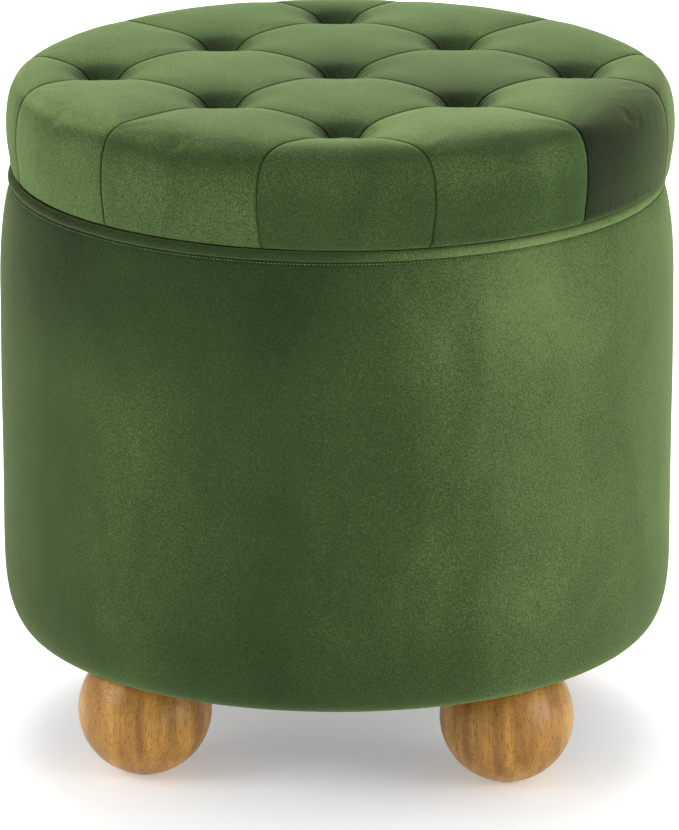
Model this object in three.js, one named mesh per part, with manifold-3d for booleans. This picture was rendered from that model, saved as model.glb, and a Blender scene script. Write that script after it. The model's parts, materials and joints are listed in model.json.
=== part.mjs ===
// Round storage ottoman: an upholstered drum on four ball feet, with a button-tufted lid that lifts off.
// Millimetres, +Z up. The origin is on the floor, on the drum's axis. The front is towards -Y.
//
// The drum is a timber skeleton (base board, two hoops and six uprights) between two bent hardboard walls.
// Foam wraps the outer wall, and one velvet cover runs from a hem under the base, up the side, over the rim
// and a short way down inside. A piping cord is sewn round the rim, and the lid sits on it.
// The lid is a foam pad on a plywood board. Nine covered buttons are tied through foam and board with twine.
// A smaller disc screwed under the board drops into the drum's mouth and centres the lid.

import * as THREE from "three";
import { mergeVertices } from "three/addons/utils/BufferGeometryUtils.js";
import Module from "manifold-3d";

// ---- Driving dimensions ----

const DRUM_R = 243; // outside of the velvet at its widest
const DRUM_BOTTOM = 79; // underside of the drum above the floor
const RIM_TOP = 412; // top of the drum's rim
const LID_BOTTOM = 418; // underside of the lid's cover, resting on the piping
const LID_R = 240; // outside of the lid at its widest
const LID_TOP = 492; // crest of the tufted top
const LID_TURN = 4.5; // degrees: a loose round lid, set down a little out of line with the feet

const GAP = 0.3; // clearance between neighbouring pieces
const VELVET = 1.5; // thickness of the cover and its backing
const ROUND = 40; // facets round the big turned pieces

// Drum cover: a tight corner at the base, a straight side and a long soft shoulder under the rim.
const CORNER = { across: 28, high: 68, power: 2.8 };
const SHOULDER = { across: 12.4, high: 72 };
const MOUTH_R = 199; // inside of the velvet where it turns down into the drum
const RETURN_DEPTH = 34; // how far that velvet reaches down inside

// Timber and hardboard
const BOARD = 15; // base board
const BOARD_EASE = { across: 20, high: 4.5 }; // its lower edge, planed off to follow the padded corner
const HOOP = { inner: 204, outer: 222.7, high: 18 };
const UPRIGHTS = 6;
const UPRIGHT_WIDTH = 34;
const HARDBOARD = 3;
const FLOOR_LIFT = 2.4; // the cavity floor lies on the tee nuts' flanges

// Piping on the rim
const PIPING = { ring: 233, radius: 3.6 };

// Feet
const BALL_R = 48;
const FOOT_RING = 183.4; // from the drum's axis to each foot's axis
const FOOT_NAMES = ["front_right", "back_right", "back_left", "front_left"];
const PAD = { radius: 9, thick: 1.2 };
const BOLT = { radius: 4, into_ball: 26 };
const TEE = { bore: 4.3, barrel: 5.6, flange: 12, thick: 1.6 };

// Lid
const LID_SIDE = { bottom: 235.5, widest_at: 26 }; // radius of the lower edge, and height of the widest place
const LID_RIM = { across: 36, power: 3, crown: 1.5 }; // the rolled rim, and the rise on to the crest
const LID_BOARD = { radius: 226, thick: 12 };
const HEM_R = 204; // inner edge of the velvet stapled under each board
const LOCATING = { radius: 196, thick: 18 };

// Tufting: a square lattice with a pitch of half the lid's radius, its diagonals facing front and side.
const PITCH = LID_R / 2;
const DIMPLE = { floor: 17, floor_r: 13, mouth_r: 34 }; // floor is measured down from the crest
const BUTTON = { radius: 11, edge: 2, dome: 3.2 };
const TWINE_R = 1;
const KNOT = { radius: 3, recess_r: 5, recess: 6 };
const SCREW = { radius: 2, head: 4.2, head_high: 2.6, ring: 170, count: 4 };

// ---- Materials ----

const material = (color, roughness, metalness = 0) =>
  new THREE.MeshStandardMaterial({ color, roughness, metalness });
const velvet = material(0x456b31, 0.85);
const oak = material(0xb98748, 0.45);
const plywood = material(0xc9a878, 0.75);
const pine = material(0xd2b48a, 0.8);
const hardboard = material(0x6e5138, 0.85);
const foam = material(0xe6dfc4, 0.95);
const lining = material(0x1d1d1f, 0.95);
const felt = material(0x3b2a20, 0.95);
const zinc = material(0xb8bcc0, 0.35, 1);
const twine = material(0xd8d2c2, 0.8);

// ---- Solids ----

const wasm = await Module();
wasm.setup();

// A closed three.js geometry as a manifold-3d solid.
function solidOf(geometry) {
  const bare = geometry.index ? geometry.toNonIndexed() : geometry.clone();
  bare.deleteAttribute("normal");
  bare.deleteAttribute("uv");
  const merged = mergeVertices(bare, 1e-4);
  return new wasm.Manifold(
    new wasm.Mesh({
      numProp: 3,
      vertProperties: merged.attributes.position.array,
      triVerts: new Uint32Array(merged.index.array),
    }),
  );
}

// A manifold-3d solid as a three.js geometry.
function geometryOf(solid) {
  const mesh = solid.getMesh();
  const geometry = new THREE.BufferGeometry();
  geometry.setAttribute("position", new THREE.BufferAttribute(mesh.vertProperties, 3));
  geometry.setIndex(new THREE.BufferAttribute(mesh.triVerts, 1));
  const flat = geometry.toNonIndexed();
  flat.computeVertexNormals();
  return flat;
}

// The outline [[radius, height], ...] turned about Z. It closes on itself, or starts and ends on the axis.
function turned(outline, segments = ROUND) {
  const points = outline.map(([r, z]) => new THREE.Vector2(r, z));
  const onAxis = outline[0][0] === 0;
  if (THREE.ShapeUtils.area(points) < 0) points.reverse();
  if (!onAxis) points.push(points[0].clone());
  return new THREE.LatheGeometry(points, segments).rotateX(Math.PI / 2);
}

// A disc or cylinder from z0 to z1.
const disc = (radius, z0, z1, segments = ROUND) =>
  turned([[0, z0], [radius, z0], [radius, z1], [0, z1]], segments);

// A flat ring or tube from z0 to z1.
const ring = (inner, outer, z0, z1, segments = ROUND) =>
  turned([[inner, z0], [outer, z0], [outer, z1], [inner, z1]], segments);

// The geometry with the tools cut away, each tool placed at every one of the points.
function drilled(geometry, points, ...tools) {
  let solid = solidOf(geometry);
  for (const tool of tools) {
    for (const [x, y] of points) {
      solid = solid.subtract(solidOf(tool.clone().translate(x, y, 0)));
    }
  }
  return geometryOf(solid);
}

function piece(group, name, geometry, look) {
  const mesh = new THREE.Mesh(geometry, look);
  mesh.name = name;
  group.add(mesh);
  return mesh;
}

// Points evenly spaced on a circle.
const circle = (count, radius, start = 0) =>
  Array.from({ length: count }, (_, i) => {
    const angle = start + (i * 2 * Math.PI) / count;
    return [radius * Math.cos(angle), radius * Math.sin(angle)];
  });

// ---- Outlines of the upholstery ----

// A quarter of a superellipse about (cx, cz), from its side (share 0) to its top or bottom (share 1).
function quarter(cx, cz, across, high, power, steps) {
  return Array.from({ length: steps + 1 }, (_, i) => {
    const rise = Math.sin((i / steps) * (Math.PI / 2));
    const out = Math.max(0, 1 - rise ** power) ** (1 / power);
    return [cx + across * out, cz + high * rise];
  });
}

// The drum's side from the hem's inner edge up to the rim's outer edge, drawn in by inset.
function drumSide(inset, steps = 5) {
  const corner = quarter(
    DRUM_R - CORNER.across,
    DRUM_BOTTOM + CORNER.high,
    CORNER.across - inset,
    inset - CORNER.high,
    CORNER.power,
    steps,
  );
  const shoulder = quarter(
    DRUM_R - SHOULDER.across,
    RIM_TOP - SHOULDER.high,
    SHOULDER.across - inset,
    SHOULDER.high - inset,
    2,
    steps,
  );
  return [...corner.reverse(), ...shoulder];
}

// The lid's side and top from its lower edge to the centre, drawn in by inset.
function lidTop(inset, steps = 5) {
  const widest = LID_BOTTOM + LID_SIDE.widest_at;
  const rim = LID_TOP - LID_RIM.crown - widest;
  const upper = quarter(
    LID_R - LID_RIM.across,
    widest,
    LID_RIM.across - inset,
    rim - inset,
    LID_RIM.power,
    steps,
  );
  const crown = [
    [LID_R * 0.65, LID_TOP - inset - 0.2],
    [0, LID_TOP - inset],
  ];
  return [[LID_SIDE.bottom - inset, LID_BOTTOM + inset], ...upper, ...crown];
}

// ---- The drum ----

function drum() {
  const group = new THREE.Group();
  const boardBottom = DRUM_BOTTOM + VELVET + GAP;
  const boardTop = boardBottom + BOARD;
  const feet = circle(4, FOOT_RING, -Math.PI / 4);
  const boltHole = disc(TEE.barrel + GAP, DRUM_BOTTOM - 1, boardTop + 1, 12);
  const hoopTop = RIM_TOP - VELVET - GAP;

  const dustCover = disc(HEM_R - GAP, DRUM_BOTTOM + GAP, boardBottom - GAP);
  piece(group, "dust_cover", drilled(dustCover, feet, boltHole), lining);
  const board = turned([
    [0, boardBottom],
    [HOOP.outer - BOARD_EASE.across, boardBottom],
    [HOOP.outer, boardBottom + BOARD_EASE.high],
    [HOOP.outer, boardTop],
    [0, boardTop],
  ]);
  piece(group, "base_board", drilled(board, feet, boltHole), plywood);

  const bottomHoop = boardTop + GAP;
  piece(group, "bottom_hoop", ring(HOOP.inner, HOOP.outer, bottomHoop, bottomHoop + HOOP.high), plywood);
  piece(group, "top_hoop", ring(HOOP.inner, HOOP.outer, hoopTop - HOOP.high, hoopTop), plywood);
  addUprights(group, bottomHoop + HOOP.high + GAP, hoopTop - HOOP.high - GAP);

  const outerWall = HOOP.outer + GAP;
  const innerWall = HOOP.inner - GAP;
  const floor = boardTop + FLOOR_LIFT;
  const wallLow = boardBottom + BOARD_EASE.high + 1;
  piece(group, "outer_wall_panel", ring(outerWall, outerWall + HARDBOARD, wallLow, hoopTop), hardboard);
  piece(group, "inner_wall_panel", ring(innerWall - HARDBOARD, innerWall, boardTop + GAP, hoopTop), lining);
  piece(group, "cavity_floor", disc(innerWall - HARDBOARD - GAP, floor, floor + HARDBOARD), lining);

  piece(group, "wall_foam", wallFoam(outerWall + HARDBOARD + GAP), foam);
  piece(group, "wall_cover", wallCover(), velvet);
  piece(group, "rim_piping", piping(), velvet);
  addFeet(group, feet, boardTop);
  return group;
}

function addUprights(group, low, high) {
  const deep = HOOP.outer - HOOP.inner - 4;
  const middle = (HOOP.outer + HOOP.inner) / 2 - 1;
  circle(UPRIGHTS, middle).forEach(([x, y], i) => {
    const post = new THREE.BoxGeometry(deep, UPRIGHT_WIDTH, high - low);
    const mesh = piece(group, `upright_${i + 1}`, post, pine);
    mesh.position.set(x, y, (low + high) / 2);
    mesh.rotation.z = Math.atan2(y, x);
  });
}

// Foam sheet glued round the outer wall panel, under the cover.
function wallFoam(inner) {
  const outside = drumSide(VELVET + GAP).filter(([r]) => r > inner + 1);
  const bottom = outside[0][1];
  const top = outside.at(-1)[1];
  return turned([[inner, bottom], ...outside, [inner, top]]);
}

// One piece of velvet: hem under the base, side, rim, and the part that turns down inside.
function wallCover() {
  const outside = [[HEM_R, DRUM_BOTTOM], ...drumSide(0).slice(1)];
  const inside = [[HEM_R, DRUM_BOTTOM + VELVET], ...drumSide(VELVET).slice(1)];
  const returnEnd = RIM_TOP - RETURN_DEPTH;
  outside.push([MOUTH_R, RIM_TOP], [MOUTH_R, returnEnd]);
  inside.push([MOUTH_R + VELVET - 0.1, RIM_TOP - VELVET], [MOUTH_R + VELVET - 0.1, returnEnd]);
  return turned([...outside, ...inside.reverse()]);
}

// The cord sewn round the rim. It stands on the shoulder with a hair's clearance, so the two stay separate.
function piping() {
  const height = LID_BOTTOM - GAP - PIPING.radius;
  const section = circle(6, PIPING.radius, Math.PI / 6).map(([r, z]) => [PIPING.ring + r, height + z]);
  const cord = solidOf(turned(section));
  const below = solidOf(disc(DRUM_R, height - 2 * PIPING.radius, RIM_TOP + GAP));
  return geometryOf(cord.subtract(below));
}

// Each foot is a ball with a flat top and a felt pad, and hangs from a tee nut by a hanger bolt.
function addFeet(group, places, boardTop) {
  const top = DRUM_BOTTOM - GAP;
  const boltLow = top - BOLT.into_ball;
  const ball = solidOf(new THREE.SphereGeometry(BALL_R, 20, 14).rotateX(Math.PI / 2).translate(0, 0, BALL_R));
  const slab = solidOf(disc(BALL_R + 1, PAD.thick + GAP, top, 8));
  const socket = solidOf(disc(BOLT.radius + GAP, boltLow - GAP, top + 1, 16));
  const foot = ball.intersect(slab).subtract(socket);
  const flangeLow = boardTop + GAP;
  const tee = turned(
    [
      [TEE.bore, DRUM_BOTTOM + VELVET],
      [TEE.barrel, DRUM_BOTTOM + VELVET],
      [TEE.barrel, flangeLow],
      [TEE.flange, flangeLow],
      [TEE.flange, flangeLow + TEE.thick],
      [TEE.bore, flangeLow + TEE.thick],
    ],
    12,
  );
  places.forEach(([x, y], i) => {
    const name = FOOT_NAMES[i];
    const corner = new THREE.Group();
    corner.position.set(x, y, 0);
    group.add(corner);
    piece(corner, `foot_${name}`, geometryOf(foot), oak);
    piece(corner, `foot_pad_${name}`, disc(PAD.radius, 0, PAD.thick, 24), felt);
    piece(corner, `hanger_bolt_${name}`, disc(BOLT.radius, boltLow, flangeLow, 12), zinc);
    piece(corner, `tee_nut_${name}`, tee, zinc);
  });
}

// ---- The lid ----

// The nine button places: three by three on the lattice, seen with a diagonal towards the front.
function tufts() {
  const step = PITCH / Math.SQRT2;
  const places = [];
  for (const i of [-1, 0, 1]) {
    for (const j of [-1, 0, 1]) {
      places.push([(i - j) * step, (i + j) * step]);
    }
  }
  return places;
}

// The domed pad with a conical dimple at each button, drawn in by inset all over.
function tuftedPad(inset, floor) {
  const dimpleFloor = LID_TOP - DIMPLE.floor - inset;
  const mouth = DIMPLE.mouth_r + inset;
  const dimple = turned(
    [
      [0, dimpleFloor],
      [DIMPLE.floor_r + inset, dimpleFloor],
      [mouth, LID_TOP],
      [mouth, LID_TOP + 5],
      [0, LID_TOP + 5],
    ],
    12,
  );
  const side = lidTop(inset);
  side[0][1] = floor;
  return solidOf(drilled(turned([[0, floor], ...side]), tufts(), dimple));
}

function lid() {
  const group = new THREE.Group();
  group.rotation.z = THREE.MathUtils.degToRad(LID_TURN);
  const boardBottom = LID_BOTTOM + VELVET + GAP;
  const boardTop = boardBottom + LID_BOARD.thick;
  const places = tufts();
  const screws = circle(SCREW.count, SCREW.ring, Math.PI / 4);
  const twineHole = disc(TWINE_R + 0.6, boardBottom - 1, LID_TOP, 8);
  const knotRecess = disc(KNOT.recess_r, boardBottom - 1, boardBottom + KNOT.recess, 8);
  const discLow = LID_BOTTOM - LOCATING.thick;
  const screwHole = disc(SCREW.radius + GAP, discLow - 1, boardTop - 2, 12);
  const headRecess = disc(SCREW.head + GAP, discLow - 3, discLow + SCREW.head_high + 2 * GAP, 12);

  const board = drilled(disc(LID_BOARD.radius, boardBottom, boardTop), places, twineHole, knotRecess);
  piece(group, "lid_board", drilled(board, screws, screwHole), plywood);
  const underLining = disc(HEM_R - GAP, LID_BOTTOM + GAP, boardBottom - GAP);
  piece(group, "lid_lining", drilled(underLining, screws, screwHole), lining);
  const locating = disc(LOCATING.radius, discLow, LID_BOTTOM);
  piece(group, "locating_disc", drilled(locating, screws, screwHole, headRecess), plywood);

  piece(group, "lid_foam", lidFoam(boardTop + GAP, places, twineHole), foam);
  piece(group, "lid_cover", lidCover(boardTop, places, twineHole), velvet);
  addButtons(group, places, boardBottom);
  addScrews(group, screws);
  return group;
}

function lidFoam(floor, places, hole) {
  return drilled(geometryOf(tuftedPad(VELVET + GAP, floor)), places, hole);
}

// The velvet skin: the outer pad less the inner one, and a hem under the board.
function lidCover(boardTop, places, hole) {
  const outer = tuftedPad(0, LID_BOTTOM);
  const inner = tuftedPad(VELVET, LID_BOTTOM + VELVET);
  const opening = solidOf(disc(HEM_R, LID_BOTTOM - 1, boardTop));
  return drilled(geometryOf(outer.subtract(inner).subtract(opening)), places, hole);
}

// A covered button lies on each dimple's floor. Its twine runs down through the board to a knot.
function addButtons(group, places, boardBottom) {
  const seat = LID_TOP - DIMPLE.floor + GAP;
  const edgeTop = seat + BUTTON.edge;
  const domes = quarter(0, edgeTop, BUTTON.radius, BUTTON.dome, 2, 3);
  domes.at(-1)[0] = 0;
  const button = turned([[0, seat], [BUTTON.radius - 1.5, seat], ...domes], 12);
  const knotTop = boardBottom + KNOT.recess - 1;
  const string = turned(
    [
      [0, knotTop - 2 * KNOT.radius + 2],
      [KNOT.radius, knotTop - KNOT.radius + 1],
      [TWINE_R, knotTop],
      [TWINE_R, seat - GAP],
      [0, seat - GAP],
    ],
    8,
  );
  places.forEach(([x, y], i) => {
    piece(group, `tuft_button_${i + 1}`, button, velvet).position.set(x, y, 0);
    piece(group, `tuft_twine_${i + 1}`, string, twine).position.set(x, y, 0);
  });
}

function addScrews(group, places) {
  const low = LID_BOTTOM - LOCATING.thick + 0.2;
  const tip = LID_BOTTOM + VELVET + LID_BOARD.thick - 3;
  const screw = turned(
    [
      [0, low],
      [SCREW.head, low],
      [SCREW.head, low + SCREW.head_high - GAP],
      [SCREW.radius, low + SCREW.head_high],
      [SCREW.radius, tip - 3],
      [0, tip],
    ],
    12,
  );
  places.forEach(([x, y], i) => {
    piece(group, `disc_screw_${i + 1}`, screw, zinc).position.set(x, y, 0);
  });
}

// ---- The ottoman ----

const ottoman = new THREE.Group();
ottoman.add(drum(), lid());

export default ottoman;
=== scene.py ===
import json
import math

import bmesh
import bpy
from mathutils import Matrix, Vector, noise


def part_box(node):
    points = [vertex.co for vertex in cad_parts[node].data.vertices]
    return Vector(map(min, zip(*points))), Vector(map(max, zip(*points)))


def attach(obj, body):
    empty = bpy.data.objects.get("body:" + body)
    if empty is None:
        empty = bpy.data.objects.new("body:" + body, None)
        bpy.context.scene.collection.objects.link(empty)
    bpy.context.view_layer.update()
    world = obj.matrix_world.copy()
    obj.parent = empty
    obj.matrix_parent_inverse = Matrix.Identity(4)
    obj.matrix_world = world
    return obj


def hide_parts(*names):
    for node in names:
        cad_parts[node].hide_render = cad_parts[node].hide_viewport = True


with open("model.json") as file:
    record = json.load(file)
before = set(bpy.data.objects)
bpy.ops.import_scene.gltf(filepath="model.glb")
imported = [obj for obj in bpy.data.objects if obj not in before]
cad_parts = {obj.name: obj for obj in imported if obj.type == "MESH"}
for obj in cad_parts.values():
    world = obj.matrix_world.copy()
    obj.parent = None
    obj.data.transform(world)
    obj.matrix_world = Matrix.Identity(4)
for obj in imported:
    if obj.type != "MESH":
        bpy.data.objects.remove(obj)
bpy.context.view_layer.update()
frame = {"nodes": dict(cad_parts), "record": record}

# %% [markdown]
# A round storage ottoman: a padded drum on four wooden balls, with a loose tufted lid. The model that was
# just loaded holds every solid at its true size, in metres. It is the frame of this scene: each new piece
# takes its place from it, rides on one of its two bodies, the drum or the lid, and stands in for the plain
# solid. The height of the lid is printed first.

MM = 0.001
lid_low, lid_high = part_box("lid_cover")
drum_low, drum_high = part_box("wall_cover")
print("lid from", round(lid_low[2] / MM, 1), "to", round(lid_high[2] / MM, 1), "mm above the floor")

# %% [markdown]
# Colours are picked as sRGB hex values, as on a paint chart, and the renderer works in linear light, so one
# function turns them round. Another adds one node to a material with its settings and its links.

# %% Helpers for finishes
def linear(hex_colour):
    parts = [int(hex_colour[i : i + 2], 16) / 255 for i in (1, 3, 5)]
    return (*[c / 12.92 if c <= 0.04045 else ((c + 0.055) / 1.055) ** 2.4 for c in parts], 1.0)


def add_node(tree, kind, settings, links=()):
    node = tree.nodes.new(kind)
    for key, value in settings.items():
        if isinstance(key, str) and hasattr(node, key):
            setattr(node, key, value)
        else:
            node.inputs[key].default_value = value
    for socket, source in dict(links).items():
        tree.links.new(source, node.inputs[socket])
    return node


def new_finish(name, **sockets):
    finish = bpy.data.materials.new(name)
    finish.use_nodes = True
    surface = finish.node_tree.nodes["Principled BSDF"]
    for key, value in sockets.items():
        surface.inputs[key.replace("_", " ")].default_value = value
    return finish, finish.node_tree, surface


def shades(tree, source, stops):
    """A colour ramp with (position, hex colour) stops, read from the source."""
    ramp = add_node(tree, "ShaderNodeValToRGB", {}, {"Fac": source})
    while len(ramp.color_ramp.elements) < len(stops):
        ramp.color_ramp.elements.new(0.5)
    for element, (place, colour) in zip(ramp.color_ramp.elements, stops):
        element.position = place
        element.color = linear(colour)
    return ramp.outputs["Color"]


# %% [markdown]
# Cotton velvet is a dense standing pile, 1 to 2 mm long. Looked at straight on, the eye sees down between
# the fibres, so the cloth is deep and dark; at a glancing angle it sees the fibres' lit sides, so every
# edge that turns away is pale. The sheen lobe does that. The pile also leans one way or another, which
# makes soft pale and dark clouds tens of millimetres wide, and its tufts show as a fine speckle of about 1
# mm. Each piece of velvet carries a number, from dark at 0 to pale at 1, that sets its colour: partly how
# its pile leans, and partly painted light and shade, paler where light falls and darker where shade falls.
# The lid's right side takes a second, shaded copy of the same cloth, with no sheen and no gloss, which
# paints that side darker; its pile is also taken as brushed flat, downwards.

# %% Cotton velvet
PILE = 1.05 * MM
CLOUD = 70 * MM


def cotton_velvet(name, sheen, shine, dark="#10190b", middle="#324823", pale="#70844f"):
    finish, tree, surface = new_finish(
        name,
        Roughness=0.9,
        Specular_IOR_Level=shine,
        Sheen_Weight=sheen,
        Sheen_Roughness=0.4,
        Sheen_Tint=linear("#b9d488"),
    )
    place = add_node(tree, "ShaderNodeTexCoord", {}).outputs["Object"]
    # The stored tone of the velvet: its pile's lean and painted light and shade.
    nap = add_node(tree, "ShaderNodeAttribute", {"attribute_name": "nap"}).outputs["Fac"]
    stretched = add_node(tree, "ShaderNodeMapping", {"Scale": (1, 1, 0.6)}, {"Vector": place})
    clouds = add_node(
        tree,
        "ShaderNodeTexNoise",
        {"Scale": 1 / CLOUD, "Detail": 4, "Roughness": 0.55, "Distortion": 0.8},
        {"Vector": stretched.outputs["Vector"]},
    )
    speckle = add_node(
        tree, "ShaderNodeTexNoise", {"Scale": 1 / PILE, "Detail": 2, "Roughness": 0.6}, {"Vector": place}
    )
    cloud_part = add_node(
        tree,
        "ShaderNodeMapRange",
        {"From Min": 0.3, "From Max": 0.7, "To Min": -0.06, "To Max": 0.06},
        {"Value": clouds.outputs["Fac"]},
    )
    speckle_part = add_node(
        tree,
        "ShaderNodeMapRange",
        {"From Min": 0.3, "From Max": 0.7, "To Min": -0.16, "To Max": 0.2},
        {"Value": speckle.outputs["Fac"]},
    )
    pile_light_and_clouds = add_node(
        tree, "ShaderNodeMath", {"operation": "ADD"}, {0: nap, 1: cloud_part.outputs["Result"]}
    )
    total = add_node(
        tree,
        "ShaderNodeMath",
        {"operation": "ADD"},
        {0: pile_light_and_clouds.outputs["Value"], 1: speckle_part.outputs["Result"]},
    )
    colour = shades(tree, total.outputs["Value"], [(0.0, dark), (0.5, middle), (1.0, pale)])
    tree.links.new(colour, surface.inputs["Base Color"])
    bump = add_node(
        tree,
        "ShaderNodeBump",
        {"Strength": 0.9, "Distance": 0.5 * MM},
        {"Height": speckle.outputs["Fac"]},
    )
    tree.links.new(bump.outputs["Normal"], surface.inputs["Normal"])
    return finish


velvet = cotton_velvet("cotton velvet", 0.5, 0.15)
# A shaded copy of the velvet, with no sheen and no gloss, that paints the lid's right side darker.
velvet_shaded_and_brushed_down = cotton_velvet("cotton velvet brushed down", 0.0, 0.0)

# %% [markdown]
# The feet are rubberwood balls, turned on a lathe and sprayed with a satin clear lacquer. The grain runs up
# the ball: golden brown bands a few millimetres wide, with thin dark pores, short strokes about 0.4 mm
# wide. The lacquer is a clear coat over the wood, which gives the soft highlight.

# %% Lacquered rubberwood
def lacquered_rubberwood():
    finish, tree, surface = new_finish(
        "lacquered rubberwood", Roughness=0.5, Coat_Weight=0.22, Coat_Roughness=0.25, Specular_IOR_Level=0.35
    )
    place = add_node(tree, "ShaderNodeTexCoord", {}).outputs["Object"]
    along = add_node(tree, "ShaderNodeMapping", {"Scale": (1, 0.5, 0.07)}, {"Vector": place})
    bands = add_node(
        tree,
        "ShaderNodeTexNoise",
        {"Scale": 1 / (9 * MM), "Detail": 4, "Roughness": 0.6, "Distortion": 0.25},
        {"Vector": along.outputs["Vector"]},
    )
    wood = shades(tree, bands.outputs["Fac"], [(0.3, "#8b5d1c"), (0.5, "#a9792d"), (0.7, "#c4923f")])
    fine = add_node(tree, "ShaderNodeMapping", {"Scale": (1, 1, 0.09)}, {"Vector": place})
    pores = add_node(
        tree,
        "ShaderNodeTexNoise",
        {"Scale": 1 / (0.8 * MM), "Detail": 1, "Roughness": 0.5},
        {"Vector": fine.outputs["Vector"]},
    )
    pore_mask = add_node(
        tree,
        "ShaderNodeMapRange",
        {"From Min": 0.57, "From Max": 0.66, "To Min": 0.0, "To Max": 0.7},
        {"Value": pores.outputs["Fac"]},
    )
    mix = add_node(
        tree,
        "ShaderNodeMix",
        {"data_type": "RGBA", 7: linear("#5c3c14")},
        {0: pore_mask.outputs["Result"], 6: wood},
    )
    tree.links.new(mix.outputs[2], surface.inputs["Base Color"])
    bump = add_node(
        tree, "ShaderNodeBump", {"Strength": 0.15, "Distance": 0.15 * MM}, {"Height": pores.outputs["Fac"]}
    )
    tree.links.new(bump.outputs["Normal"], surface.inputs["Normal"])
    return finish


rubberwood = lacquered_rubberwood()

# %% [markdown]
# The rest is seen only when the lid is off or from below: bare plywood, pine, hardboard, black non-woven
# cloth, felt, foam, zinc-plated screws and twine. They share one recipe: two tones of the material's
# colour, mixed by a noise as coarse as its grain, fibre or cell, and a slight bump from the same noise.

# %% Plain finishes
def plain_finish(name, one, other, grain, stretch=(1, 1, 1), bump=0.2, **sockets):
    finish, tree, surface = new_finish(name, **sockets)
    place = add_node(tree, "ShaderNodeTexCoord", {}).outputs["Object"]
    turned_way = add_node(tree, "ShaderNodeMapping", {"Scale": stretch}, {"Vector": place})
    mottle = add_node(
        tree,
        "ShaderNodeTexNoise",
        {"Scale": 1 / grain, "Detail": 3, "Roughness": 0.6},
        {"Vector": turned_way.outputs["Vector"]},
    )
    colour = shades(tree, mottle.outputs["Fac"], [(0.35, one), (0.65, other)])
    tree.links.new(colour, surface.inputs["Base Color"])
    height = add_node(
        tree, "ShaderNodeBump", {"Strength": bump, "Distance": 0.2 * MM}, {"Height": mottle.outputs["Fac"]}
    )
    tree.links.new(height.outputs["Normal"], surface.inputs["Normal"])
    return finish


birch_plywood = plain_finish("birch plywood", "#c9a273", "#dbbf93", 1.5 * MM, (0.02, 0.5, 1), Roughness=0.7)
sawn_pine = plain_finish("sawn pine", "#c9a671", "#e0c696", 2 * MM, (1, 1, 0.05), Roughness=0.75)
bent_hardboard = plain_finish("bent hardboard", "#5d4430", "#7c5f45", 1.2 * MM, Roughness=0.8)
black_nonwoven = plain_finish("black non-woven cloth", "#141416", "#2a2a2d", 1 * MM, bump=0.5, Roughness=0.95)
wool_felt = plain_finish("wool felt", "#2e211a", "#4a382c", 0.8 * MM, bump=0.6, Roughness=1.0)
seat_foam = plain_finish("seat foam", "#d9cfae", "#efe9d2", 1.5 * MM, bump=0.6, Roughness=0.95)
sewing_thread = plain_finish("sewing thread", "#33491f", "#64804a", 1.5 * MM, bump=0.2, Roughness=0.7)
waxed_twine = plain_finish("waxed twine", "#b9b19c", "#ded8c8", 0.7 * MM, bump=0.5, Roughness=0.7)
zinc_plate = plain_finish(
    "zinc-plated steel", "#9a9ea3", "#c3c7cb", 6 * MM, bump=0.05, Roughness=0.35, Metallic=1.0
)
FINISH_OF = {
    "velvet": velvet,
    "lacquered_wood": rubberwood,
    "plywood": birch_plywood,
    "pine": sawn_pine,
    "hardboard": bent_hardboard,
    "lined_hardboard": black_nonwoven,
    "foam": seat_foam,
    "lining_cloth": black_nonwoven,
    "felt": wool_felt,
    "zinc_steel": zinc_plate,
    "twine": waxed_twine,
}
for part in frame["record"]["subparts"]:
    solid = frame["nodes"][part["node"]]
    solid.data.materials.clear()
    solid.data.materials.append(FINISH_OF[part["material_slot"]])
print("finishes:", sorted(m.name for m in set(FINISH_OF.values())))

# %% [markdown]
# Most of an ottoman is turned work: an outline swept once round the upright axis. The outline is a short
# list of (radius, height) points or a rounded corner, and the spin operator sweeps it. A rounded corner
# here is a quarter of a superellipse: power 2 is an ellipse, and a higher power is squarer, as foam under
# stretched cloth is.

# %% Helpers for shapes
def corner(cx, cz, across, high, power=2.0, steps=24):
    """From the side of a quarter superellipse about (cx, cz) to its top, or to its bottom if high is negative."""
    points = []
    for i in range(steps + 1):
        rise = math.sin(i / steps * math.pi / 2)
        out = max(0.0, 1 - rise**power) ** (1 / power)
        points.append((cx + across * out, cz + high * rise))
    return points


def evenly(outline, step):
    """The outline again, with points no further apart than step."""
    points = [outline[0]]
    for (r0, z0), (r1, z1) in zip(outline, outline[1:]):
        parts = max(1, math.ceil(math.hypot(r1 - r0, z1 - z0) / step))
        points += [(r0 + (r1 - r0) * k / parts, z0 + (z1 - z0) * k / parts) for k in range(1, parts + 1)]
    return points


def turned(outline, steps=192, closed=False):
    """A bmesh: the outline swept round the Z axis. A closed outline makes a ring."""
    bm = bmesh.new()
    rail = [bm.verts.new((r, 0, z)) for r, z in outline]
    edges = [bm.edges.new(pair) for pair in zip(rail, rail[1:])]
    if closed:
        edges.append(bm.edges.new((rail[-1], rail[0])))
    bmesh.ops.spin(
        bm, geom=rail + edges, axis=(0, 0, 1), cent=(0, 0, 0), steps=steps, angle=2 * math.pi, use_merge=True
    )
    bmesh.ops.remove_doubles(bm, verts=bm.verts, dist=1e-6)
    bmesh.ops.recalc_face_normals(bm, faces=bm.faces)
    return bm


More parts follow.
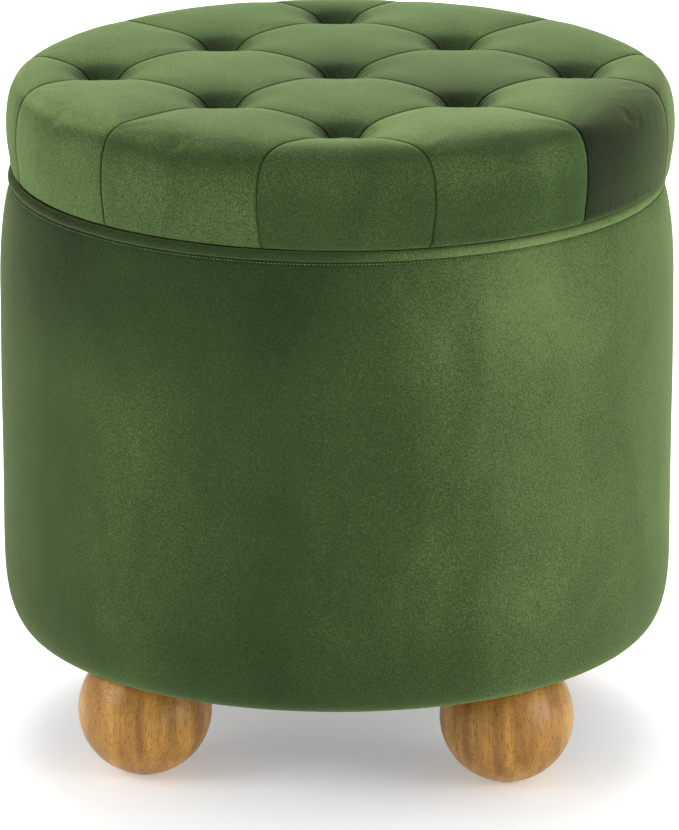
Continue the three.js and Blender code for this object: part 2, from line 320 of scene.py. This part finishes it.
def finished(bm, name, finish, body, stands_for=(), nap=0.5):
    """The bmesh as a smooth piece that rides on a body and replaces CAD nodes."""
    mesh = bpy.data.meshes.new(name)
    # Velvet carries its tone on its points: the pile's lean and painted light and shade.
    if finish is velvet and "nap" not in bm.verts.layers.float:
        layer = bm.verts.layers.float.new("nap")
        for vert in bm.verts:
            vert[layer] = nap(vert.co) if callable(nap) else nap
    bm.to_mesh(mesh)
    bm.free()
    mesh.materials.append(finish)
    mesh.shade_smooth()
    piece = bpy.data.objects.new(name, mesh)
    bpy.context.scene.collection.objects.link(piece)
    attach(piece, body)
    if stands_for:
        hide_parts(*stands_for)
    print(f"{name}: {len(mesh.polygons)} faces")
    return piece


def smoothstep(x, a, b):
    t = min(1.0, max(0.0, (x - a) / (b - a)))
    return t * t * (3 - 2 * t)


# %% [markdown]
# The drum's cover is one skin of velvet over foam. Seen from the side it has a full, tight corner at the
# base, stands straight for most of its height and leans in gently under the rim. Its outline goes up the
# outside, over the rim, down inside as the return, and back along the inner face, so the skin has a real
# thickness. The foam under it is never quite even, so the side gets a swell of half a millimetre, far too
# little to draw but enough to break the reflections. The cloth is joined by one upright seam at the back.

# %% The drum's cover
DRUM_R = drum_high[0]
DRUM_LOW, RIM = drum_low[2], drum_high[2]
MOUTH_R = 199 * MM
HEM_R = 204 * MM
SKIN = 1.4 * MM
SHOULDER, SHOULDER_HIGH = 12.4 * MM, 72 * MM
RETURN = 34 * MM  # how far the cover turns down inside the mouth
SEAM_SINK = 0.9 * MM


def drum_side(inset):
    low = corner(DRUM_R - 28 * MM, DRUM_LOW + 68 * MM, 28 * MM - inset, inset - 68 * MM, 2.8, 28)
    high = corner(DRUM_R - SHOULDER, RIM - SHOULDER_HIGH, SHOULDER - inset, SHOULDER_HIGH - inset, 2.0, 28)
    return low[::-1] + high


# Degrees round from the front, positive to the right, and how pale the drum's velvet is there: partly the
# pile's lean and partly painted light and shade.
DRUM_PILE_AND_PAINTED_LIGHT = [(-180, 0.4), (-110, 0.3), (-80, 0.05), (-56, 0.3), (-34, 0.48), (-19, 0.4), (-5, 0.32)]
DRUM_PILE_AND_PAINTED_LIGHT += [(9, 0.4), (23, 0.48), (39, 0.58), (58, 0.5), (80, 0.5), (110, 0.45), (180, 0.4)]
# The same for what is added high up, under the rim: darker on the left and at the front, partly the pile's
# lean and partly painted shade under the lid's edge.
RIM_PILE_AND_PAINTED_SHADE = [(-180, 0), (-90, -0.15), (-50, -0.3), (0, -0.12), (30, 0.1), (90, 0.0), (180, 0)]


def between(table, x):
    """The value at x in a table of (x, value) pairs, eased between them."""
    for (x0, v0), (x1, v1) in zip(table, table[1:]):
        if x <= x1:
            return v0 + (v1 - v0) * smoothstep(x, x0, x1)
    return table[-1][1]


# The drum's tone at a place: the table round the side, the extra high up, and a little darker low down.
def drum_pile_and_painted_light(place):
    around = math.degrees(math.atan2(place.x, -place.y))
    high = smoothstep(place.z, 290 * MM, 380 * MM)
    low = 1 - smoothstep(place.z, 90 * MM, 170 * MM)
    nap = between(DRUM_PILE_AND_PAINTED_LIGHT, around)
    nap += high * between(RIM_PILE_AND_PAINTED_SHADE, around)
    return nap - 0.08 * low + 0.04


outside = [(HEM_R, DRUM_LOW)] + evenly(drum_side(0), 5 * MM)
outside += [(MOUTH_R + 2 * MM, RIM), (MOUTH_R, RIM - 2 * MM), (MOUTH_R, RIM - RETURN)]
inside = [(HEM_R, DRUM_LOW + SKIN)] + evenly(drum_side(SKIN), 12 * MM)
inside += [(MOUTH_R + SKIN, RIM - SKIN), (MOUTH_R + SKIN, RIM - RETURN)]
bm = turned(outside + inside[::-1], steps=256, closed=True)
for vert in bm.verts:
    across = Vector((vert.co.x, vert.co.y, 0))
    radius = across.length
    if radius > HEM_R + 4 * MM and vert.co.z < RIM - 1 * MM:
        swell = noise.noise(vert.co * 9.0) * 0.6 * MM + noise.noise(vert.co * 31.0) * 0.15 * MM
        vert.co += across / radius * swell
seam_zone = [f for f in bm.faces if f.calc_center_median().y > 0 and abs(f.calc_center_median().x) < 12 * MM]
for side in (-1.2, -0.5, 0.5, 1.2):
    zone = {g for f in seam_zone if f.is_valid for g in (f, *f.verts, *f.edges)}
    cut = bmesh.ops.bisect_plane(bm, geom=list(zone), plane_co=(side * MM, 0, 0), plane_no=(1, 0, 0))
    seam_zone = [g for g in cut["geom"] if isinstance(g, bmesh.types.BMFace)]
for vert in bm.verts:
    on_side = DRUM_LOW + SKIN * 2 < vert.co.z < RIM - SKIN * 2
    at_seam = abs(vert.co.x) < 0.6 * MM and vert.co.y > HEM_R and on_side
    if at_seam and vert.co.xy.length > DRUM_R - SHOULDER - 2 * SKIN:
        vert.co.y -= SEAM_SINK
drum_cover = finished(bm, "drum_cover", velvet, "drum", ["wall_cover"], nap=drum_pile_and_painted_light)

# %% [markdown]
# Piping is a cord wrapped in a strip of the same velvet and sewn in where two pieces of cloth meet. It runs
# round the rim, and the lid sits on it. A circle swept round makes it, a little uneven as hand-fed piping
# is.

# %% The piping
PIPE_R = 233 * MM
PIPE = 3.6 * MM
PIPE_Z = lid_low[2] - PIPE - 1.2 * MM  # pressed down a little by the lid
PIPE_SIDES = 20


# The cord takes the drum's tone, a little paler, with painted light to the right and painted shade to the left.
def piping_pile_and_painted_light(place):
    return drum_pile_and_painted_light(place) + 0.06 + 0.1 * place.x / PIPE_R


turns = [2 * math.pi * k / PIPE_SIDES for k in range(PIPE_SIDES)]
ring = [(PIPE_R + PIPE * math.cos(a), PIPE_Z + PIPE * math.sin(a)) for a in turns]
bm = turned(ring, steps=320, closed=True)
for vert in bm.verts:
    vert.co += vert.normal * noise.noise(vert.co * 60.0) * 0.25 * MM
finished(bm, "rim_piping_cord", velvet, "drum", ["rim_piping"], nap=piping_pile_and_painted_light)

# %% [markdown]
# The strip round the cord has a flat flange, which lies on the drum's cover just below the cord and is
# stitched down. The flange follows the lean of the drum's shoulder and stands less than a millimetre proud
# of it. The stitches are single beads of thread in a row, a few faces each, because there are several
# hundred of them.

# %% The flange and its stitches
def shoulder_radius(z):
    return DRUM_R - SHOULDER + SHOULDER * math.sqrt(1 - ((z - (RIM - SHOULDER_HIGH)) / SHOULDER_HIGH) ** 2)


FLANGE_LOW = RIM - 4.5 * MM
PROUD = 0.8 * MM  # how far the flange stands out from the cover
levels = [FLANGE_LOW + k * 0.7 * MM for k in range(6)]
strip = [(shoulder_radius(z) + PROUD, z) for z in levels]
strip += [(shoulder_radius(z) - 0.3 * MM, z) for z in levels[::-1]]
bm = turned(strip, steps=256, closed=True)
# The flange is a shade darker than the drum's cover: painted shade under the cord.
finished(bm, "piping_flange", velvet, "drum", nap=lambda p: drum_pile_and_painted_light(p) - 0.1)

STITCH_Z = FLANGE_LOW + 0.9 * MM
STITCH_PITCH = 2.6 * MM
STITCH_R = shoulder_radius(STITCH_Z) + PROUD
count = round(2 * math.pi * STITCH_R / STITCH_PITCH)
bm = bmesh.new()
for k in range(count):
    turn = Matrix.Rotation(2 * math.pi * k / count, 4, "Z")
    shape = turn @ Matrix.Translation((STITCH_R, 0, STITCH_Z)) @ Matrix.Diagonal((0.4, 0.85, 0.45, 1))
    bmesh.ops.create_uvsphere(bm, u_segments=6, v_segments=4, radius=1 * MM, matrix=shape)
finished(bm, "rim_stitches", sewing_thread, "drum")

# %% [markdown]
# The lid is the showpiece. Nine buttons on a square lattice are tied down through the foam, and the velvet
# is folded along the straight lines that join them. The folds run on over the rim and down the side as
# twelve seams. The foam decides the shape: deep at the buttons, full between them. So the pad starts as a
# turned shape a little smaller than its final size.

# %% The lid's lattice
LID_R = lid_high[0]
LID_LOW, LID_TOP = lid_low[2], lid_high[2]
LID_TURN = math.radians(4.5)
LID_SET = Vector((2.5, 0.2, 0)) * MM  # a loose lid is never set down quite in the middle
PITCH = 120 * MM
BUTTON_R = 11 * MM
SEAT_DEPTH = 17.5 * MM
SHRINK = 1.2 * MM  # how much smaller the pad starts
CROWN = 0.8 * MM  # how much lower the rim is than the middle
RIM_ROUND = 34 * MM
RIM_SQUARENESS = 3.4
LID_FOOT_R = 235.5 * MM
half = PITCH / math.sqrt(2)
button_places = [Vector(((i - j) * half, (i + j) * half, 0)) for i in (-1, 0, 1) for j in (-1, 0, 1)]


def across_lattice(place):
    """How far a place is along each of the lattice's two directions."""
    return (place.x + place.y) / math.sqrt(2), (place.x - place.y) / math.sqrt(2)


def from_fold(place):
    """The distance to the nearest fold line."""
    return min(abs(w - k * PITCH) for w in across_lattice(place) for k in (-1, 0, 1))


def dip(place):
    """How far the cloth is pulled down here by the nearest button."""
    flat = Vector((place.x, place.y, 0))
    nearest = min(button_places, key=lambda b: (flat - b).length)
    away = flat - nearest
    r = away.length
    fullness = abs(math.cos(2 * math.atan2(away.y, away.x))) if r > 1e-6 else 0.0
    reach = (11 - 2 * fullness) * MM
    return (SEAT_DEPTH - SHRINK) * math.exp(-max(0.0, r - 9 * MM) / reach)


def lid_outline(inset):
    widest = LID_LOW + 26 * MM
    rim_crest = LID_TOP - CROWN - inset
    rim = corner(LID_R - RIM_ROUND, widest, RIM_ROUND - inset, rim_crest - widest, RIM_SQUARENESS, 20)
    crown = [(120 * MM, LID_TOP - inset), (0, LID_TOP - inset)]
    return [(0, LID_LOW), (LID_FOOT_R - inset, LID_LOW)] + rim + crown


bm = turned(evenly(lid_outline(SHRINK), 6 * MM), steps=200)
print("buttons on the lattice:", len(button_places), "with a pitch of", PITCH / MM, "mm")

# %% [markdown]
# Cloth moves well only on an even mesh, so the pad is remeshed in 5 mm steps. Its top is lowered round each
# button, where twine holds it down. A group of points called held keeps the base, the buttons and the fold
# lines in place, and lets everything between them move.

# %% Remesh, lower and hold
mesh = bpy.data.meshes.new("lid_pad_start")
bm.to_mesh(mesh)
bm.free()
pad = bpy.data.objects.new("tufted_lid_pad", mesh)
bpy.context.scene.collection.objects.link(pad)
even = pad.modifiers.new("even mesh", "REMESH")
even.mode = "VOXEL"
even.voxel_size = 5 * MM


def apply_modifiers(piece):
    graph = bpy.context.evaluated_depsgraph_get()
    graph.update()
    made = bpy.data.meshes.new_from_object(piece.evaluated_get(graph))
    piece.modifiers.clear()
    piece.data = made


apply_modifiers(pad)
held = pad.vertex_groups.new(name="held")
for vert in pad.data.vertices:
    on_top = smoothstep(vert.co.z, LID_TOP - 24 * MM, LID_TOP - 8 * MM)
    vert.co.z -= dip(vert.co) * on_top
    near_button = min((Vector((vert.co.x, vert.co.y, 0)) - b).length for b in button_places) < BUTTON_R + 2 * MM
    if vert.co.z < LID_LOW + 3 * MM or near_button:
        held.add([vert.index], 1.0, "REPLACE")
    else:
        grip = 1 - smoothstep(from_fold(vert.co), 1.5 * MM, 6 * MM)
        if grip > 0:
            held.add([vert.index], grip, "REPLACE")
print("pad:", len(pad.data.vertices), "points before blowing up")

# %% [markdown]
# Foam pushes velvet outwards evenly, as air does in a balloon, so the cloth simulation is given pressure
# and no weight. The swelling is capped, to keep the lid at its real size. After it the side is let out to
# its full radius, and the lower edge, which the remesh leaves jagged, is drawn to an even rounding.

# %% Blow the pad up
CAP = 6 * MM
PRESSURE = 30
CLOTH_STEPS = 20
before = [v.co.copy() for v in pad.data.vertices]
cloth = pad.modifiers.new("cloth", "CLOTH")
cloth.settings.use_pressure = True
cloth.settings.uniform_pressure_force = PRESSURE
cloth.settings.vertex_group_mass = "held"
cloth.settings.effector_weights.gravity = 0
cloth.collision_settings.use_collision = False
cloth.point_cache.frame_start = 1
cloth.point_cache.frame_end = CLOTH_STEPS
for step in range(1, CLOTH_STEPS + 1):
    bpy.context.scene.frame_set(step)
apply_modifiers(pad)
bpy.context.scene.frame_set(1)
moved = 0.0
for vert, start in zip(pad.data.vertices, before):
    shift = vert.co - start
    if shift.length > CAP:
        shift = shift.normalized() * CAP
    moved = max(moved, shift.length)
    vert.co = start + shift
print("the pad swelled by up to", round(moved / MM, 1), "mm")
print("its crest is at", round(max(v.co.z for v in pad.data.vertices) / MM, 1), "mm")
spare = LID_R + 0.7 * MM - max(v.co.xy.length for v in pad.data.vertices)
for vert in pad.data.vertices:
    radius = vert.co.xy.length
    if radius > 180 * MM:
        out = spare * smoothstep(radius, 180 * MM, 228 * MM) / radius
        vert.co.x += vert.co.x * out
        vert.co.y += vert.co.y * out
print("side let out by", round(spare / MM, 1), "mm")
EDGE_ROUND = 8 * MM
edge_centre = Vector((229.5 * MM, LID_LOW - 1.5 * MM + EDGE_ROUND))
for vert in pad.data.vertices:
    radius = vert.co.xy.length
    if radius > 205 * MM:
        away = Vector((radius, vert.co.z)) - edge_centre
        below = math.degrees(math.atan2(-away.y, away.x))
        grip = smoothstep(below, -35, 0) * (1 - smoothstep(below, 90, 150))
        held_at = edge_centre + away * (1 + (EDGE_ROUND / away.length - 1) * grip)
        vert.co = Vector((vert.co.x * held_at.x / radius, vert.co.y * held_at.x / radius, held_at.y))

# %% [markdown]
# The simulation's mesh is soft everywhere. A real fold is crisp: two rounded lips of velvet meet in a thin
# dark line. So the pad is subdivided once, cut along all six fold planes and along lines close beside them,
# and the cut lines are pressed in. Each area between folds also gets its own tone, partly the pile's lean
# and partly painted light and shade.

# %% Folds and seams
FOLD_STEPS = [0.0, 0.4, 0.9, 2.5, 6.0]  # in mm, to either side of a fold line
PLEATS = 12
PLEAT_DEPTH = 0.45 * MM
fine = pad.modifiers.new("finer", "SUBSURF")
fine.levels = fine.render_levels = 1
apply_modifiers(pad)
bm = bmesh.new()
bm.from_mesh(pad.data)
for direction in (Vector((1, 1, 0)).normalized(), Vector((1, -1, 0)).normalized()):
    for k in (-1, 0, 1):
        for side in FOLD_STEPS:
            for sign in (1, -1) if side else (1,):
                bmesh.ops.bisect_plane(
                    bm,
                    geom=bm.verts[:] + bm.edges[:] + bm.faces[:],
                    plane_co=direction * (k * PITCH + sign * side * MM),
                    plane_no=direction,
                    dist=0.15 * MM,
                )
bm.normal_update()


def fold_depth(place):
    d = from_fold(place)
    pillow = (0.9 + 0.6 * smoothstep(place.z, LID_TOP - 30 * MM, LID_TOP - 10 * MM)) * MM
    inward = max(0.0, 1 - d / (15 * MM))
    soft = pillow * (1 - math.sqrt(1 - inward**2))
    slit = 1.2 * MM * max(0.0, 1 - d / (0.9 * MM)) ** 1.3
    return soft + slit


def gather(place):
    """How deep the small pleats are that the button's thread pulls into the cloth round it."""
    flat = Vector((place.x, place.y, 0))
    away = flat - min(button_places, key=lambda b: (flat - b).length)
    ring = math.exp(-(((away.length - 15 * MM) / (5 * MM)) ** 2))
    return PLEAT_DEPTH * ring * (1 + math.cos(PLEATS * math.atan2(away.y, away.x)))


for vert in bm.verts:
    if vert.co.z > LID_LOW + 1 * MM:
        vert.co -= vert.normal * (fold_depth(vert.co) + gather(vert.co))
crest = max(v.co.z for v in bm.verts)
print("crest with folds:", round(crest / MM, 1), "mm")

# %% [markdown]
# Hands and sitting stroke each area its own way, so the pile of each leans differently and has its own
# shade. That tone is stored on the faces together with painted light and shade: paler at the crest of most
# areas, painted shade inside each fold and on the slopes that rise from the folds and the rim, and on the
# top painted light from the left, paler on faces turned left and darker on faces turned right. Then the lid
# is turned to how it was set down, and the part of its skin that the lid's own under cloth hides is left out.

# %% The pile of each area
# Areas are numbered along the lattice's two directions; (0, 3) is the front one, (1, 2) the front diamond.
# Each has its tone at the crest and at the lower edge: partly its pile's lean and partly painted light, so
# most areas on the lid's right are darker.
PILE_AND_PAINTED_LIGHT_OF_AREA = {(0, 0): (0.56, 0.56), (0, 1): (0.6, 0.6), (0, 2): (0.5, 0.57), (0, 3): (0.58, 0.4)}
PILE_AND_PAINTED_LIGHT_OF_AREA.update({(1, 3): (0.64, 0.42), (2, 3): (0.6, 0.0), (3, 3): (0.55, 0.6)})
PILE_AND_PAINTED_LIGHT_OF_AREA.update({(1, 2): (0.5, 0.5), (1, 1): (0.49, 0.49), (2, 2): (0.36, 0.36), (2, 1): (0.42, 0.42)})
# The area on the lid's right side whose velvet is the shaded copy.
SHADED_AND_BRUSHED_DOWN = {(2, 3)}


def area_of(place):
    return tuple(sum(w > k * PITCH for k in (-1, 0, 1)) for w in across_lattice(place))


pile_and_painted_light_layer = bm.faces.layers.float.new("nap")
for face in bm.faces:
    middle = face.calc_center_median()
    # Painted shade inside each fold.
    painted_fold_shade = 1 - smoothstep(from_fold(middle), 0.3 * MM, 1.3 * MM)
    crest_pile_and_light, edge_pile_and_light = PILE_AND_PAINTED_LIGHT_OF_AREA.get(area_of(middle), (0.5, 0.5))
    shaded_and_brushed = area_of(middle) in SHADED_AND_BRUSHED_DOWN
    down = 1 - smoothstep(middle.z, LID_TOP - (14 if shaded_and_brushed else 49) * MM, LID_TOP - 2 * MM)
    slope = 1 - face.normal.z
    # On the top, painted light from the left: faces turned left are paler, faces turned right darker.
    painted_light_from_left = -0.6 * face.normal.x * (1 - smoothstep(slope, 0.1, 0.5))
    # Painted shade on the slopes that rise from the folds and the rim, halved near the edge.
    painted_slope_shade = smoothstep(slope, 0.0, 0.1) * (1 - smoothstep(slope, 0.2, 1.0))
    painted_slope_shade *= 1 - 0.5 * smoothstep(middle.xy.length, 185 * MM, 215 * MM)
    # In that area the crest is also painted darker towards the right end.
    if shaded_and_brushed:
        crest_pile_and_light -= 0.5 * smoothstep(middle.x, 140 * MM, 210 * MM)
    face[pile_and_painted_light_layer] = crest_pile_and_light + (edge_pile_and_light - crest_pile_and_light) * down + painted_light_from_left - 0.3 * painted_slope_shade - 0.25 * painted_fold_shade
    face.material_index = 1 if shaded_and_brushed else 0
bmesh.ops.rotate(bm, verts=bm.verts, cent=(0, 0, 0), matrix=Matrix.Rotation(LID_TURN, 3, "Z"))
bmesh.ops.translate(bm, verts=bm.verts, vec=LID_SET)
low_faces = [f for f in bm.faces if f.calc_center_median().z < LID_LOW + 1 * MM]
inner = [f for f in low_faces if f.calc_center_median().xy.length < HEM_R]
bmesh.ops.delete(bm, geom=inner, context="FACES")
bm.to_mesh(pad.data)
bm.free()
pad.data.materials.clear()
pad.data.materials.append(velvet)
pad.data.materials.append(velvet_shaded_and_brushed_down)
pad.data.shade_smooth()
thick = pad.modifiers.new("cloth thickness", "SOLIDIFY")
thick.thickness = SKIN
thick.offset = -1
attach(pad, "lid")
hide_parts("lid_cover", "lid_foam")
print("lid pad:", len(pad.data.polygons), "faces")

# %% [markdown]
# The buttons are metal blanks covered in the same velvet. Each sits in its dip with its cloth gathered
# underneath, so only a low dome shows.

# %% The buttons
seat_low, seat_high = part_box("tuft_button_1")
DOME = seat_high[2] - seat_low[2]
turn_lid = Matrix.Rotation(LID_TURN, 4, "Z")
for number, place in enumerate(button_places, 1):
    dome = corner(0, seat_low[2] + 2 * MM, BUTTON_R, DOME - 2 * MM, 2.3, 14)
    bm = turned([(0, seat_low[2]), (BUTTON_R - 2 * MM, seat_low[2])] + dome[:-1] + [(0, seat_high[2])], steps=48)
    bmesh.ops.translate(bm, verts=bm.verts, vec=turn_lid @ place + LID_SET)
    finished(bm, f"covered_button_{number}", velvet, "lid", [f"tuft_button_{number}"], nap=0.5)

# %% [markdown]
# Each foot is a ball with a small flat on top, where it meets the drum, and one below for its felt pad.

# %% The feet
FEET = ("front_right", "back_right", "back_left", "front_left")
for name in FEET:
    low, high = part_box(f"foot_{name}")
    pad_low, pad_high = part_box(f"foot_pad_{name}")
    centre = Vector(((low[0] + high[0]) / 2, (low[1] + high[1]) / 2, 0))
    ball = (high[0] - low[0]) / 2
    start = math.asin((low[2] - ball) / ball)
    end = math.asin((high[2] - ball) / ball)
    angles = [start + (end - start) * k / 48 for k in range(49)]
    side = [(ball * math.cos(a), ball + ball * math.sin(a)) for a in angles]
    bm = turned([(0, low[2])] + side + [(0, high[2])], steps=96)
    bmesh.ops.translate(bm, verts=bm.verts, vec=centre)
    finished(bm, f"ball_foot_{name}", rubberwood, "drum", [f"foot_{name}"])
    pad_r = (pad_high[0] - pad_low[0]) / 2
    edge = corner(pad_r - 1 * MM, pad_high[2] - 1 * MM, 1 * MM, 1 * MM, 2, 4)
    bm = turned([(0, 0), (pad_r, 0)] + edge + [(0, pad_high[2])], steps=48)
    bmesh.ops.translate(bm, verts=bm.verts, vec=centre)
    finished(bm, f"felt_pad_{name}", wool_felt, "drum", [f"foot_pad_{name}"])

# %% [markdown]
# With the lid off, the room inside shows: a black lined wall, a lined floor panel, and under the lid a
# plywood disc that drops into the mouth, with a recess for each of its four screws. Under the drum a black
# dust cloth hides the boards. Rings of staples hold the cloths, under the base and under the lid.

# %% The lined inside and the underside
def smooth_ring(name, node, inner, steps=192):
    low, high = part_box(node)
    bm = turned([(inner, low[2]), (high[0], low[2]), (high[0], high[2]), (inner, high[2])], steps, closed=True)
    return finished(bm, name, black_nonwoven, "drum", [node])


def smooth_disc(name, node, body, finish, ease=0.5 * MM):
    low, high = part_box(node)
    r = high[0]
    outline = [(0, low[2]), (r - ease, low[2]), (r, low[2] + ease)]
    outline += [(r, high[2] - ease), (r - ease, high[2]), (0, high[2])]
    return finished(turned(outline), name, finish, body, [node])


def cut_away(piece, cutter_bm):
    """The piece with the cutter's shape taken out of it."""
    cutter_mesh = bpy.data.meshes.new("cutter")
    cutter_bm.to_mesh(cutter_mesh)
    cutter_bm.free()
    cutter = bpy.data.objects.new("cutter", cutter_mesh)
    bpy.context.scene.collection.objects.link(cutter)
    bite = piece.modifiers.new("recesses", "BOOLEAN")
    bite.object = cutter
    apply_modifiers(piece)
    bpy.data.objects.remove(cutter)


STAPLES = 64


def staples(name, body, radius, z, count):
    """A ring of staples, each a flat wire crown 9 mm wide."""
    bm = bmesh.new()
    for k in range(count):
        turn = Matrix.Rotation(2 * math.pi * (k + 0.5) / count, 4, "Z")
        shape = turn @ Matrix.Translation((radius, 0, z)) @ Matrix.Rotation(0.2, 4, "Z")
        bmesh.ops.create_cube(bm, size=1, matrix=shape @ Matrix.Diagonal((0.9 * MM, 9 * MM, 0.6 * MM, 1)))
    finished(bm, name, zinc_plate, body).data.shade_flat()


smooth_ring("lined_wall", "inner_wall_panel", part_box("inner_wall_panel")[1][0] - 3 * MM)
smooth_disc("lined_floor", "cavity_floor", "drum", black_nonwoven)
smooth_disc("dust_cloth", "dust_cover", "drum", black_nonwoven, 0.2 * MM)
smooth_disc("lid_under_cloth", "lid_lining", "lid", black_nonwoven, 0.2 * MM)
locating = smooth_disc("lid_locating_disc", "locating_disc", "lid", birch_plywood, 1.5 * MM)
bm = bmesh.new()
for number in range(1, 5):
    low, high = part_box(f"disc_screw_{number}")
    at = Matrix.Translation(((low[0] + high[0]) / 2, (low[1] + high[1]) / 2, low[2]))
    r = (high[0] - low[0] + 0.8 * MM) / 2
    deep = 2 * (high[2] - low[2]) + 1 * MM
    bmesh.ops.create_cone(bm, cap_ends=True, segments=32, radius1=r, radius2=r, depth=deep, matrix=at)
cut_away(locating, bm)
staples("base_staples", "drum", 208 * MM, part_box("dust_cover")[0][2] - 0.2 * MM, STAPLES)
staples("lid_staples", "lid", 209 * MM, LID_LOW - 0.3 * MM, STAPLES)

# %% [markdown]
# The camera looks a little down on the ottoman from a few metres away, through a long lens.

# %% Camera
def look_from(azimuth, elevation, distance, target):
    a, e = math.radians(azimuth), math.radians(elevation)
    back = Vector((math.sin(a) * math.cos(e), -math.cos(a) * math.cos(e), math.sin(e)))
    return target + back * distance, (-back).to_track_quat("-Z", "Y")


camera = bpy.data.objects.new("camera", bpy.data.cameras.new("camera"))
bpy.context.scene.collection.objects.link(camera)
bpy.context.scene.camera = camera
camera.rotation_mode = "QUATERNION"
camera.location, camera.rotation_quaternion = look_from(3.57, 16.6, 4.829, Vector((0, 0, 0.24)))
camera.data.lens = 288.3
camera.data.shift_x = 0.0031
camera.data.shift_y = -0.0153
camera.data.clip_end = 50

# %% [markdown]
# The room is a white studio: a pale floor that glows a little, so that it stays white right up to the
# object, and four large soft lights. Soft lights suit velvet, whose shades come from how the pile leans.

# %% Floor and light
bm = bmesh.new()
bmesh.ops.create_grid(bm, x_segments=1, y_segments=1, size=6)
floor_mesh = bpy.data.meshes.new("studio_floor")
bm.to_mesh(floor_mesh)
bm.free()
floor = bpy.data.objects.new("studio_floor", floor_mesh)
bpy.context.scene.collection.objects.link(floor)
white_paper, _, _ = new_finish(
    "white paper", Base_Color=(0.9, 0.9, 0.9, 1), Roughness=0.9, Emission_Color=(1, 1, 1, 1), Emission_Strength=0.27
)
floor_mesh.materials.append(white_paper)

world = bpy.data.worlds.new("studio")
bpy.context.scene.world = world
world.use_nodes = True
world.node_tree.nodes["Background"].inputs["Color"].default_value = (1, 1, 1, 1)
world.node_tree.nodes["Background"].inputs["Strength"].default_value = 0.6


def softbox(name, size, power, place, target=Vector((0, 0, 0.25))):
    light = bpy.data.objects.new(name, bpy.data.lights.new(name, "AREA"))
    light.data.shape = "SQUARE"
    light.data.size = size
    light.data.energy = power
    light.location = place
    light.rotation_mode = "QUATERNION"
    light.rotation_quaternion = (target - Vector(place)).to_track_quat("-Z", "Y")
    bpy.context.scene.collection.objects.link(light)
    return light


softbox("top box", 1.8, 50, (-0.1, 1.2, 2.5))
softbox("back box", 1.6, 28, (0.3, 2.5, 0.9), Vector((0, 0, 0.1)))
softbox("left box", 1.6, 36, (-2.4, -1.2, 1.4))
softbox("right box", 1.4, 34, (2.3, -1.0, 0.6), Vector((0, 0, 0.1)))
bpy.context.scene.view_settings.view_transform = "Standard"
bpy.context.scene.view_settings.look = "None"
